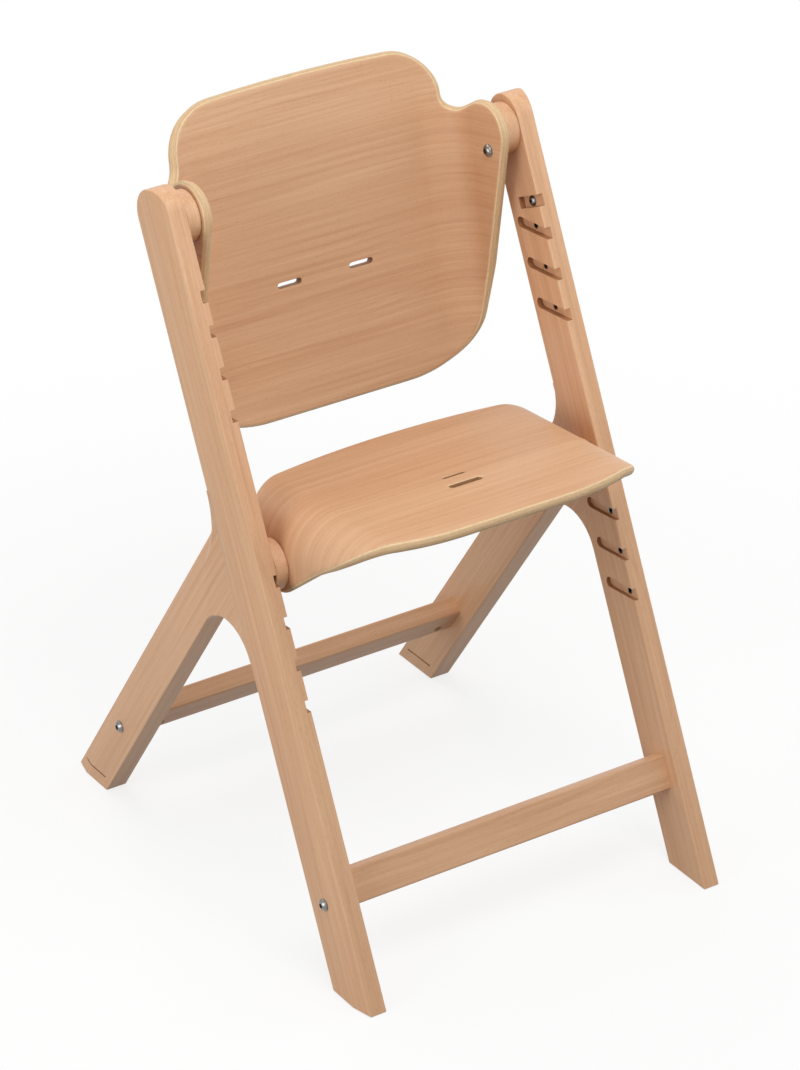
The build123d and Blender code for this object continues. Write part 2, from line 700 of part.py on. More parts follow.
rear_arc_mid = rear_centre + (turn_way + Vector(0, 1)).normalized() * rear_r

with BuildPart() as seat_mould:
    with BuildSketch(seat_section):
        with BuildLine():
            Polyline((seat_bend_x, SEAT_RISE), (0, SEAT_RISE), (0, seat_low))
            Polyline((0, seat_low), (PANEL_X, seat_low), (PANEL_X, seat_bend_g))
            JernArc((PANEL_X, seat_bend_g), (0, 1), SEAT_BEND_R, 90)
        make_face()
    extrude(amount=SEAT_FORE + SEAT_AFT)
    with BuildSketch(seat_corner_view):
        with BuildLine():
            FilletPolyline(
                (0, -SEAT_FORE),
                (corner_e, -SEAT_FORE),
                (touch_e, front_touch[0]),
                radius=SEAT_FRONT_R,
            )
            Polyline(
                (touch_e, front_touch[0]),
                (touch_e, -SEAT_FORE - CUT),
                (0, -SEAT_FORE - CUT),
                (0, -SEAT_FORE),
            )
        make_face()
    extrude(amount=CUT, both=True, mode=Mode.SUBTRACT)
    with BuildSketch(seat_side):
        Polygon(
            front_touch,
            (0, 0),
            rear_touch,
            (CUT, rear_touch[1]),
            (CUT, -CUT),
            (-CUT, -CUT),
            (-CUT, front_touch[1]),
            align=None,
        )
        Circle(FLANGE_R, mode=Mode.SUBTRACT)
    extrude(amount=CUT, both=True, mode=Mode.SUBTRACT)
    with BuildSketch(seat_corner_view):
        with BuildLine():
            ThreePointArc((0, SEAT_AFT), tuple(rear_arc_mid), tuple(rear_arc_end))
            ThreePointArc(tuple(rear_arc_end), tuple(turn_mid), tuple(rear_line_end))
            Polyline(
                tuple(rear_line_end),
                tuple(rear_start),
                (rear_start.X, SEAT_AFT + CUT),
                (0, SEAT_AFT + CUT),
                (0, SEAT_AFT),
            )
        make_face()
    extrude(amount=CUT, both=True, mode=Mode.SUBTRACT)
    mirror(about=Plane.YZ)

seat_axis = Axis(seat_spacer, SLOT_OVER)
seat_bends = [
    face
    for face in seat_mould.faces().filter_by(GeomType.CYLINDER)
    if abs(face.axis_of_rotation.direction.dot(SLOT_IN)) > 0.999
]
seat_surface = [
    seat_mould.faces().sort_by(seat_axis)[-1],
    seat_mould.faces().sort_by(Axis.X)[-1],
    seat_mould.faces().sort_by(Axis.X)[0],
    *seat_bends,
]

with BuildPart() as seat:
    thicken(seat_surface, amount=-PLY_T)
    with BuildSketch(seat_plan):
        with Locations((0, -SEAT_SLOT_FORE)):
            SlotOverall(SEAT_SLOT_L, SEAT_SLOT_W)
        with Locations((0, -SEAT_GROOVE_FORE)):
            SlotOverall(SEAT_GROOVE_L, SEAT_GROOVE_W)
    extrude(amount=-2 * PLY_T, mode=Mode.SUBTRACT)
    bores(-PANEL_X, 2 * PANEL_X, SEAT_BOLT_R + FIT, [seat_key])

# Seat spacers, the keys let into them and the bolts that hold them.
key_tip_x = INNER_X + LOWER_SLOT_D - SLIP
spacer_end_x = INNER_X - SLIP


def key_plane(x):
    """Plane at x, centred on the key and lying along the slot."""
    return Plane(origin=seat_key + SIDE * x, x_dir=tuple(SLOT_IN), z_dir=(1, 0, 0))


with BuildPart() as seat_spacer_right:
    rods(PANEL_X, spacer_end_x - PANEL_X, SPACER_R, [seat_spacer])
    fillet(seat_spacer_right.edges(), SPACER_EDGE_R)
    with BuildSketch(key_plane(spacer_end_x - KEY_SUNK)):
        SlotOverall(KEY_L + 2 * FIT, SLOT_W - 2 * SLIP + 2 * FIT)
    extrude(amount=KEY_SUNK, mode=Mode.SUBTRACT)
    bores(PANEL_X, SPACER_T, SEAT_BOLT_R + FIT, [seat_key])

with BuildPart() as seat_spacer_left:
    mirror(seat_spacer_right.part, about=Plane.YZ)

with BuildPart() as slot_key_right:
    with BuildSketch(key_plane(spacer_end_x - KEY_SUNK)):
        SlotOverall(KEY_L, SLOT_W - 2 * SLIP)
    extrude(amount=key_tip_x - spacer_end_x + KEY_SUNK)
    bores(
        spacer_end_x - KEY_SUNK,
        key_tip_x - spacer_end_x + KEY_SUNK - TIP,
        SEAT_BOLT_R + FIT,
        [seat_key],
    )

with BuildPart() as slot_key_left:
    mirror(slot_key_right.part, about=Plane.YZ)

with BuildPart() as seat_bolts:
    for bolt_side in (-1, 1):
        button_bolt(
            bolt_side * (PANEL_X - PLY_T),
            seat_key,
            -bolt_side,
            SEAT_BOLT_R,
            key_tip_x - TIP - END_GAP - PANEL_X + PLY_T,
            SEAT_BOLT_HEAD_R,
            SEAT_BOLT_HEAD_H,
            SEAT_BOLT_AF,
        )

pieces = {
    "front_rail_left": front_rail_left,
    "front_rail_right": front_rail_right,
    "rear_leg_left": rear_leg_left,
    "rear_leg_right": rear_leg_right,
    "joint_dowels": joint_dowels,
    "front_crossbar": front_crossbar,
    "rear_crossbar": rear_crossbar,
    "crossbar_bolts": crossbar_bolts,
    "crossbar_nuts": crossbar_nuts,
    "crossbar_dowels": crossbar_dowels,
    "upper_slot_inserts": upper_slot_inserts,
    "lower_slot_inserts": lower_slot_inserts,
    "top_slot_screws": top_slot_screws,
    "back_spacer_left": back_spacer_left,
    "back_spacer_right": back_spacer_right,
    "pivot_inserts": pivot_inserts,
    "pivot_bolts": pivot_bolts,
    "backrest": backrest,
    "seat": seat,
    "seat_spacer_left": seat_spacer_left,
    "seat_spacer_right": seat_spacer_right,
    "slot_key_left": slot_key_left,
    "slot_key_right": slot_key_right,
    "seat_bolts": seat_bolts,
}

os.makedirs("parts", exist_ok=True)
for piece_name, piece in pieces.items():
    piece.part.label = piece_name
    export_step(piece.part, f"parts/{piece_name}.step")
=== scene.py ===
import logging
import math
from dataclasses import dataclass, field
from enum import Enum
from typing import Optional, Sequence, Union

import bmesh
import bpy
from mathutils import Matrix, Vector


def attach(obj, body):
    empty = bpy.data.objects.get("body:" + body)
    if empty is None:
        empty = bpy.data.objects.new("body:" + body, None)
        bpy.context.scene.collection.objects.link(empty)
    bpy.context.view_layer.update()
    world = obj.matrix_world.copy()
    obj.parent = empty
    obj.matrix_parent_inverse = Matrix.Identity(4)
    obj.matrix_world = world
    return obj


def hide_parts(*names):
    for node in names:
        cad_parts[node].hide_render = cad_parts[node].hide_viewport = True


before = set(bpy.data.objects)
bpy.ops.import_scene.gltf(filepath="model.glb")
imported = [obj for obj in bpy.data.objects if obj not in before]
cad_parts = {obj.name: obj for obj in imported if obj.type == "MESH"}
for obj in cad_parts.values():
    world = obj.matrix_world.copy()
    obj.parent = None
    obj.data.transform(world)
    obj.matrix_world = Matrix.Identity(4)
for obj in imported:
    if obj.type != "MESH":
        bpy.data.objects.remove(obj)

LOG = logging.getLogger("high_chair")
MM = 0.001
JOIN = 0.001 * MM  # points nearer than this are one
RAIL_LEAN = 25.5  # degrees that the rails lean back
BACK_LEAN = 13.0  # degrees that the backrest leans back
SEAT_DROOP = 5.5  # degrees that the seat and its slots slope down to the back
PLY_THICK = 11.5 * MM
RELIEF_STRENGTH = 0.10
DEVELOPED = "developed"  # layer with each point's place in the flat sheet
HOLE = "hole"  # layer with the rounding of a hole's rim in millimetres, 0 elsewhere

Colour = tuple[float, float, float, float]
Point = tuple[float, float, float]
Flat = tuple[float, float]
Operand = Union["Term", float, int]
Spots = tuple["Term", "Term", "Term"]
Settings = dict[str, Union[str, bool]]
Sockets = dict[Union[int, str], Union["Term", float, Point, Colour]]

WHITE: Colour = (1.0, 1.0, 1.0, 1.0)
SIDEWAYS: Point = (1.0, 0.0, 0.0)
BACKWARDS: Point = (0.0, 1.0, 0.0)
UPWARDS: Point = (0.0, 0.0, 1.0)


def shade(red: int, green: int, blue: int) -> Colour:
    """Turns a display colour into a scene colour.

    Args:
        red: Display value from 0 to 255.
        green: Display value from 0 to 255.
        blue: Display value from 0 to 255.

    Returns:
        The linear colour with full alpha.
    """
    def channel(value: int) -> float:
        """Straightens one display value."""
        part = value / 255.0
        return part / 12.92 if part <= 0.04045 else ((part + 0.055) / 1.055) ** 2.4

    return (channel(red), channel(green), channel(blue), 1.0)


class Term:
    """A socket of a material, used in sums as if it were a number."""

    def __init__(self, sheet: "Sheet", socket: bpy.types.NodeSocket) -> None:
        """Keeps the socket and the material that it belongs to."""
        self.sheet = sheet
        self.socket = socket

    def _sum(self, operation: str, first: Operand, second: Operand = 0.0) -> "Term":
        """Result of one Math node."""
        return self.sheet.term("ShaderNodeMath", {"operation": operation}, {0: first, 1: second})

    def __add__(self, other: Operand) -> "Term":
        """Sum."""
        return self._sum("ADD", self, other)

    def __radd__(self, other: Operand) -> "Term":
        """Sum, reflected."""
        return self._sum("ADD", other, self)

    def __sub__(self, other: Operand) -> "Term":
        """Difference."""
        return self._sum("SUBTRACT", self, other)

    def __rsub__(self, other: Operand) -> "Term":
        """Difference, reflected."""
        return self._sum("SUBTRACT", other, self)

    def __mul__(self, other: Operand) -> "Term":
        """Product."""
        return self._sum("MULTIPLY", self, other)

    def __rmul__(self, other: Operand) -> "Term":
        """Product, reflected."""
        return self._sum("MULTIPLY", other, self)

    def __pow__(self, other: Operand) -> "Term":
        """Power."""
        return self._sum("POWER", self, other)

    def __rpow__(self, other: Operand) -> "Term":
        """Power, reflected."""
        return self._sum("POWER", other, self)

    def wave(self) -> "Term":
        """Smooth wave from 0 to 1, once for each whole number."""
        return self._sum("SINE", self * (2 * math.pi)) * 0.5 + 0.5

    def swing(self, amount: float) -> "Term":
        """Noise moved from 0.5 to 0 and scaled."""
        return (self - 0.5) * amount

    def size(self) -> "Term":
        """Value without its sign."""
        return self._sum("ABSOLUTE", self)

    def least(self, other: Operand) -> "Term":
        """Smaller of two values."""
        return self._sum("MINIMUM", self, other)

    def step(self, low: float, high: float) -> "Term":
        """Smooth step.

        Args:
            low: Value that gives 0.
            high: Value that gives 1.

        Returns:
            The step, from 0 to 1.
        """
        return self.sheet.term(
            "ShaderNodeMapRange",
            {"interpolation_type": "SMOOTHSTEP"},
            {"Value": self, "From Min": low, "From Max": high},
        )

    def beside(self, value: float, fade: Flat) -> "Term":
        """1 close to a value, falling to 0 between two distances from it."""
        return 1 - (self - value).size().step(*fade)

    def mix(self, first: Union["Term", Colour], second: Union["Term", Colour]) -> "Term":
        """Mixes two colours by this value.

        Args:
            first: Colour at 0.
            second: Colour at 1.

        Returns:
            The mixed colour.
        """
        return self.sheet.term(
            "ShaderNodeMix",
            {"data_type": "RGBA", "clamp_factor": True},
            {0: self, 6: first, 7: second},
            output=2,
        )

    def blend(self, first: "Term", second: "Term") -> "Term":
        """Mixes two shaders by this value."""
        return self.sheet.term("ShaderNodeMixShader", None, {0: self, 1: first, 2: second})


class Sheet:
    """The nodes of one material or world."""

    def __init__(self, owner: Union[bpy.types.Material, bpy.types.World]) -> None:
        """Starts with no nodes.

        Args:
            owner: The material or world that gets the nodes.
        """
        owner.use_nodes = True
        self.owner = owner
        self.tree = owner.node_tree
        self.tree.nodes.clear()

    @classmethod
    def named(cls, name: str) -> "Sheet":
        """Starts a new material."""
        return cls(bpy.data.materials.new(name))

    def node(
        self,
        kind: str,
        settings: Optional[Settings] = None,
        sockets: Optional[Sockets] = None,
    ) -> bpy.types.Node:
        """Adds a node.

        Args:
            kind: The node's type.
            settings: Its settings, which are set first.
            sockets: Values or links of its sockets, by name or number.

        Returns:
            The node.
        """
        made = self.tree.nodes.new(kind)
        for key, value in (settings or {}).items():
            setattr(made, key, value)
        for key, value in (sockets or {}).items():
            if isinstance(value, Term):
                self.tree.links.new(value.socket, made.inputs[key])
            else:
                made.inputs[key].default_value = value
        return made

    def term(
        self,
        kind: str,
        settings: Optional[Settings] = None,
        sockets: Optional[Sockets] = None,
        output: Union[int, str] = 0,
    ) -> Term:
        """Adds a node, as node() does, and gives one of its results."""
        return Term(self, self.node(kind, settings, sockets).outputs[output])

    def seen(self) -> Term:
        """Tells what is seen, straight or in a mirror or a glass, from what only lights.

        Returns:
            1 for rays of the camera, a gloss or a glass, else 0.
        """
        rays = self.node("ShaderNodeLightPath")
        kinds = ("Is Camera Ray", "Is Glossy Ray", "Is Transmission Ray")
        straight, mirrored, through = (Term(self, rays.outputs[kind]) for kind in kinds)
        return straight + mirrored + through

    def surface(
        self,
        colour: Term,
        rough: Term,
        height: Term,
        relief: float,
        fixed: dict[str, float],
    ) -> bpy.types.Material:
        """Lays a surface with a fine relief.

        Args:
            colour: Its colour.
            rough: Its roughness.
            height: Its height, from 0 to 1.
            relief: The height in metres that 1 stands for.
            fixed: Other values of the surface.

        Returns:
            The finished material.
        """
        sockets = {"Strength": RELIEF_STRENGTH, "Distance": relief, "Height": height}
        bump = self.term("ShaderNodeBump", None, sockets)
        sockets = {"Base Color": colour, "Roughness": rough, "Normal": bump, **fixed}
        return self.close(self.term("ShaderNodeBsdfPrincipled", None, sockets))

    def close(self, shader: Term) -> bpy.types.Material:
        """Leads a shader to the surface and gives the finished material."""
        self.node("ShaderNodeOutputMaterial", None, {"Surface": shader})
        return self.owner


@dataclass(frozen=True)
class Grain:
    """How the fibres lie in a member: their direction and the way across them.

    `offset` shifts the figure along the fibres, and a share of it, `slant`, across them.
    """

    along: Point
    across: Point
    offset: float = 0.0
    slant: float = 0.37

    def read(self, sheet: Sheet) -> Spots:
        """Reads the place in the wood, in metres.

        Args:
            sheet: The material.

        Returns:
            Distances along the fibres, across them, and into the face.
        """
        spot = sheet.term("ShaderNodeTexCoord", output="Object")
        depth = tuple(Vector(self.along).cross(Vector(self.across)))
        product = {"operation": "DOT_PRODUCT"}
        along, across, inwards = (
            sheet.term("ShaderNodeVectorMath", product, {0: spot, 1: way}, "Value")
            for way in (self.along, self.across, depth)
        )
        return along + self.offset, across + self.offset * self.slant, inwards


@dataclass(frozen=True)
class MouldedGrain:
    """Fibres of a moulded sheet, across the chair and round its bends.

    `offset` and `slant` shift the figure as in Grain.
    """

    offset: float = 0.0
    slant: float = 0.37

    def read(self, sheet: Sheet) -> Spots:
        """Reads the place in the unrolled sheet, in metres.

        Args:
            sheet: The material.

        Returns:
            Distances along the fibres, across them, and into the sheet.
        """
        spot = sheet.term("ShaderNodeAttribute", {"attribute_name": DEVELOPED}, output="Vector")
        split = sheet.node("ShaderNodeSeparateXYZ", None, {0: spot})
        along, across, inwards = (Term(sheet, out) for out in split.outputs)
        return along + self.offset, across + self.offset * self.slant, inwards


@dataclass(frozen=True)
class Layer:
    """One noise of a finish: its repeats for each metre in each way, and its detail."""

    run: float
    wide: float
    deep: float
    detail: float = 2.0
    rough: float = 0.55

    def read(self, sheet: Sheet, spots: Spots) -> Term:
        """Reads the noise.

        Args:
            sheet: The material.
            spots: Distances along, across and inwards.

        Returns:
            The noise, about 0.5.
        """
        along, across, inwards = spots
        sockets = {0: along * self.run, 1: across * self.wide, 2: inwards * self.deep}
        place = sheet.term("ShaderNodeCombineXYZ", None, sockets)
        sockets = {"Vector": place, "Scale": 1.0, "Detail": self.detail, "Roughness": self.rough}
        return sheet.term("ShaderNodeTexNoise", {"noise_dimensions": "3D"}, sockets)


@dataclass(frozen=True)
class BeechTones:
    """Colours of lacquered beech, from the palest to the darkest."""

    pale: Colour = shade(225, 183, 145)
    warm: Colour = shade(202, 151, 112)
    vein: Colour = shade(182, 128, 92)
    fleck: Colour = shade(170, 116, 82)


@dataclass(frozen=True)
class VeneerTones(BeechTones):
    """Colours of the plywood's outer veneer, a little deeper than solid beech."""

    pale: Colour = shade(219, 178, 141)
    warm: Colour = shade(196, 146, 108)
    vein: Colour = shade(177, 124, 89)
    fleck: Colour = shade(165, 112, 79)


@dataclass(frozen=True)
class MilledShadeTones(BeechTones):
    """Colours of the slot walls: the darker end grain that a cutter leaves, deepened with painted
    shade of the slot's recess.
    """

    pale: Colour = shade(176, 126, 88)
    warm: Colour = shade(146, 98, 64)
    vein: Colour = shade(122, 80, 52)
    fleck: Colour = shade(108, 70, 46)


@dataclass(frozen=True)
class BeechFinish:
    """Solid beech under satin lacquer.

    Noises draw the figure: a slow drift, the bands, lines and fibres of the grain, short
    dashes for the flecks, and growth rings that wander and show in patches.
    """

    name: str
    grain: Union[Grain, MouldedGrain]
    tones: BeechTones = BeechTones()
    drift: Layer = Layer(1.7, 15.0, 15.0)
    bands: Layer = Layer(3.0, 130.0, 130.0, 3.0, 0.6)
    lines: Layer = Layer(6.0, 460.0, 460.0, 3.0, 0.65)
    fibre: Layer = Layer(34.0, 1500.0, 1500.0)
    dash: Layer = Layer(190.0, 1400.0, 1400.0, 0.0)
    wander: Layer = Layer(2.6, 8.0, 8.0, 1.0)
    patch: Layer = Layer(4.0, 30.0, 30.0, 1.0)
    rings_across: float = 120.0
    rings_deep: float = 50.0
    ring_edge: float = 4.0
    patch_fade: Flat = (0.35, 0.68)
    fleck_fade: Flat = (0.63, 0.76)
    middle: float = 0.45
    vein_share: float = 0.16
    fleck_share: float = 0.20
    rough: float = 0.44
    gloss: float = 0.36
    relief: float = 0.5 * MM

    def figure(self, sheet: Sheet, spots: Spots) -> tuple[Term, Term, Term]:
        """Draws the wood.

        Args:
            sheet: The material.
            spots: Distances along the fibres, across them, and inwards.

        Returns:
            Colour, roughness and height of the surface.
        """
        _, across, inwards = spots
        drift = self.drift.read(sheet, spots)
        bands = self.bands.read(sheet, spots)
        lines = self.lines.read(sheet, spots)
        fibre = self.fibre.read(sheet, spots)
        flecks = self.dash.read(sheet, spots).step(*self.fleck_fade)
        patch = self.patch.read(sheet, spots).step(*self.patch_fade)
        turns = across * self.rings_across + inwards * self.rings_deep
        turns = turns + self.wander.read(sheet, spots) * 5.0 + lines * 0.4
        veins = turns.wave() ** self.ring_edge * patch
        tone = drift.swing(0.9) + bands.swing(1.2) + lines.swing(1.0) + fibre.swing(0.4)
        wood = (tone + self.middle).mix(self.tones.pale, self.tones.warm)
        wood = (veins * self.vein_share).mix(wood, self.tones.vein)
        wood = (flecks * self.fleck_share).mix(wood, self.tones.fleck)
        rough = self.rough + fibre.swing(0.14) + drift.swing(0.08) + flecks * 0.05
        height = fibre * 0.45 + lines * 0.55 - flecks * 0.35 - veins * 0.2
        return wood, rough, height

    def lacquer(self, sheet: Sheet, wood: Term, rough: Term, height: Term) -> bpy.types.Material:
        """Lays the lacquer over the drawn wood and gives the finished material."""
        fixed = {"Specular IOR Level": self.gloss}
        return sheet.surface(wood, rough, height, self.relief, fixed)

    def make(self) -> bpy.types.Material:
        """Makes the material."""
        sheet = Sheet.named(self.name)
        return self.lacquer(sheet, *self.figure(sheet, self.grain.read(sheet)))


@dataclass(frozen=True)
class PlywoodFinish(BeechFinish):
    """Moulded plywood: beech veneer on both faces and bare plies on the edge, turning brown
    inside holes, partly for cut end grain and partly as painted shade.

    Depths count from the nearer face: `skin` to the end of the veneer, `first` to the
    glue seam under the first ply, and `second` to the middle of the next pale ply.
    """

    tones: BeechTones = VeneerTones()
    waver: Layer = Layer(26.0, 26.0, 60.0)
    pores: Layer = Layer(330.0, 330.0, 700.0, 3.0, 0.65)
    cross: Layer = Layer(60.0, 60.0, 1100.0, 3.0, 0.65)
    thick: float = PLY_THICK
    unevenness: float = 0.5 * MM
    skin: float = 0.55 * MM
    first: float = 1.75 * MM
    first_fade: float = 0.2 * MM
    seam_fade: Flat = (0.05 * MM, 0.30 * MM)
    second: float = 4.3 * MM
    second_fade: Flat = (0.25 * MM, 0.75 * MM)
    edge_pale: Colour = shade(229, 205, 163)
    edge_deep: Colour = shade(201, 166, 126)
    glue: Colour = shade(140, 106, 72)
    pore_fade: Flat = (0.58, 0.72)
    # brown of a hole's inner wall: partly cut end grain, partly painted shade of the hole
    hole_wall_shade: Colour = shade(150, 100, 64)
    hole_start: float = 0.5
    hole_fade: float = 0.5 * MM

    def make(self) -> bpy.types.Material:
        """Makes the material.

        Returns:
            The material.
        """
        sheet = Sheet.named(self.name)
        spots = self.grain.read(sheet)
        wood, rough, height = self.figure(sheet, spots)
        pores = self.pores.read(sheet, spots)
        cross = self.cross.read(sheet, spots)
        near = spots[2].least(self.thick - spots[2])
        near = near + self.waver.read(sheet, spots).swing(self.unevenness)
        bare = near.step(self.skin * 0.75, self.skin * 1.25)
        first = 1 - near.step(self.first - self.first_fade, self.first + self.first_fade)
        seam = near.beside(self.first, self.seam_fade)
        second = near.beside(self.second, self.second_fade)
        pale = first * 0.55 + second * 0.25 + pores.swing(1.5) + cross.swing(1.1) + 0.12
        edge = pale.mix(self.edge_deep, self.edge_pale)
        edge = (seam * 0.30 + pores.step(*self.pore_fade) * 0.30).mix(edge, self.glue)
        # past a hole's rounded rim the wall fades to brown with depth: partly darker cut plies,
        # partly painted shade inside the hole
        hole = sheet.term("ShaderNodeAttribute", {"attribute_name": HOLE}, output="Fac")
        deep = (near - hole * self.hole_start * MM).step(0.0, self.hole_fade)
        dark = hole.step(0.0, 0.1) * deep
        edge = (dark * (0.8 + cross.swing(0.6))).mix(edge, self.hole_wall_shade)
        return self.lacquer(
            sheet,
            bare.mix(wood, edge),
            rough + bare * 0.12,
            height + bare * (pores * 0.8 - seam * 0.3),
        )


@dataclass(frozen=True)
class SteelFinish:
    """Satin steel of bolts, screws and threaded inserts."""

    name: str
    grain: Grain = Grain(SIDEWAYS, BACKWARDS)
    cloud: Layer = Layer(260.0, 260.0, 260.0, 3.0)
    lines: Layer = Layer(300.0, 5200.0, 900.0)
    bright: Colour = shade(152, 151, 148)
    dull: Colour = shade(98, 97, 95)
    rough: float = 0.22
    relief: float = 0.1 * MM

    def make(self) -> bpy.types.Material:
        """Makes the material.

        Returns:
            The material.
        """
        sheet = Sheet.named(self.name)
        spots = self.grain.read(sheet)
        cloud = self.cloud.read(sheet, spots)
        lines = self.lines.read(sheet, spots)
        colour = (cloud.swing(1.4) + 0.4).mix(self.bright, self.dull)
        rough = self.rough + cloud.swing(0.16) + lines.swing(0.10)
        return sheet.surface(colour, rough, lines + cloud * 0.5, self.relief, {"Metallic": 1.0})


@dataclass(frozen=True)
class FloorFinish:
    """Pale studio floor that shows white to the camera and keeps the shadow.

    `colour` is what is seen and `bounce` what lights the chair from below. A white veil
    hides the share `veil` of it near the chair, rising to all between `near` and `far`.
    """

    name: str = "studio_floor"
    colour: Colour = (0.92, 0.92, 0.92, 1.0)
    bounce: Colour = (0.25, 0.25, 0.25, 1.0)
    veil: float = 0.78
    near: float = 0.50
    far: float = 1.30

    def make(self) -> bpy.types.Material:
        """Makes the material.

        Returns:
            The material.
        """
        sheet = Sheet.named(self.name)
        seen = sheet.seen()
        matt = sheet.term("ShaderNodeBsdfDiffuse", None, {"Color": self.colour})
        bounce = sheet.term("ShaderNodeBsdfDiffuse", None, {"Color": self.bounce})
        white = sheet.term("ShaderNodeEmission", None, {"Color": WHITE, "Strength": 1.0})
        spot = sheet.term("ShaderNodeTexCoord", output="Object")
        reach = sheet.term("ShaderNodeVectorMath", {"operation": "LENGTH"}, {0: spot}, "Value")
        veil = self.veil + reach.step(self.near, self.far) * (1.0 - self.veil)
        return sheet.close((seen * veil).blend(seen.blend(bounce, matt), white))


def smooth(mesh: bpy.types.Mesh, crease: float) -> None:
    """Shades a mesh smooth, apart from its creases.

    Args:
        mesh: The mesh.
        crease: Angle in degrees above which an edge stays sharp.
    """
    for face in mesh.polygons:
        face.use_smooth = True
    mesh.set_sharp_from_angle(angle=math.radians(crease))


def show(name: str, mesh: bpy.types.Mesh) -> bpy.types.Object:
    """Puts a mesh into the scene.

    Args:
        name: The piece's name.
        mesh: Its mesh.

    Returns:
        The new object.
    """
    piece = bpy.data.objects.new(name, mesh)
    bpy.context.scene.collection.objects.link(piece)
    return piece


def steady(piece: bpy.types.Object) -> None:
    """Keeps the large faces of a smooth piece level, so that only its edges turn.

    Args:
        piece: The piece, whose mesh is replaced.
    """
    piece.modifiers.new("steady", "WEIGHTED_NORMAL").keep_sharp = True
    bpy.context.view_layer.update()
    seen = piece.evaluated_get(bpy.context.evaluated_depsgraph_get())
    rough = piece.data
    name = rough.name
    level = bpy.data.meshes.new_from_object(seen)
    piece.modifiers.clear()
    piece.data = level
    bpy.data.meshes.remove(rough)
    level.name = name


def dress(piece: bpy.types.Object, material: bpy.types.Material) -> None:
    """Gives a piece one material.

    Args:
        piece: The piece.
        material: Its material.
    """
    if piece.data.materials:
        piece.data.materials.clear()
    piece.data.materials.append(material)


def welded(node: str) -> bmesh.types.BMesh:
    """Reads a solid's mesh and joins its split points.

    Args:
        node: The solid's name.

    Returns:
        The joined mesh.
    """
    mesh = bmesh.new()
    mesh.from_mesh(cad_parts[node].data)
    bmesh.ops.remove_doubles(mesh, verts=mesh.verts[:], dist=JOIN)
    mesh.normal_update()
    return mesh


def cut(mesh: bmesh.types.BMesh, spot: Vector, way: Vector, near: float) -> None:
    """Cuts the faces of a mesh along a plane.

    Args:
        mesh: The mesh, which is changed.
        spot: A point of the plane.
        way: The plane's direction.
        near: Points nearer to the plane than this lie on it.
    """
    bmesh.ops.bisect_plane(
        mesh,
        geom=mesh.verts[:] + mesh.edges[:] + mesh.faces[:],
        dist=near,
        plane_co=spot,
        plane_no=way,
    )


class Side(Enum):
    """The two sides of the chair, as seen from its front."""

    LEFT = -1
    RIGHT = 1

    def word(self) -> str:
        """The side's name."""
        return self.name.lower()


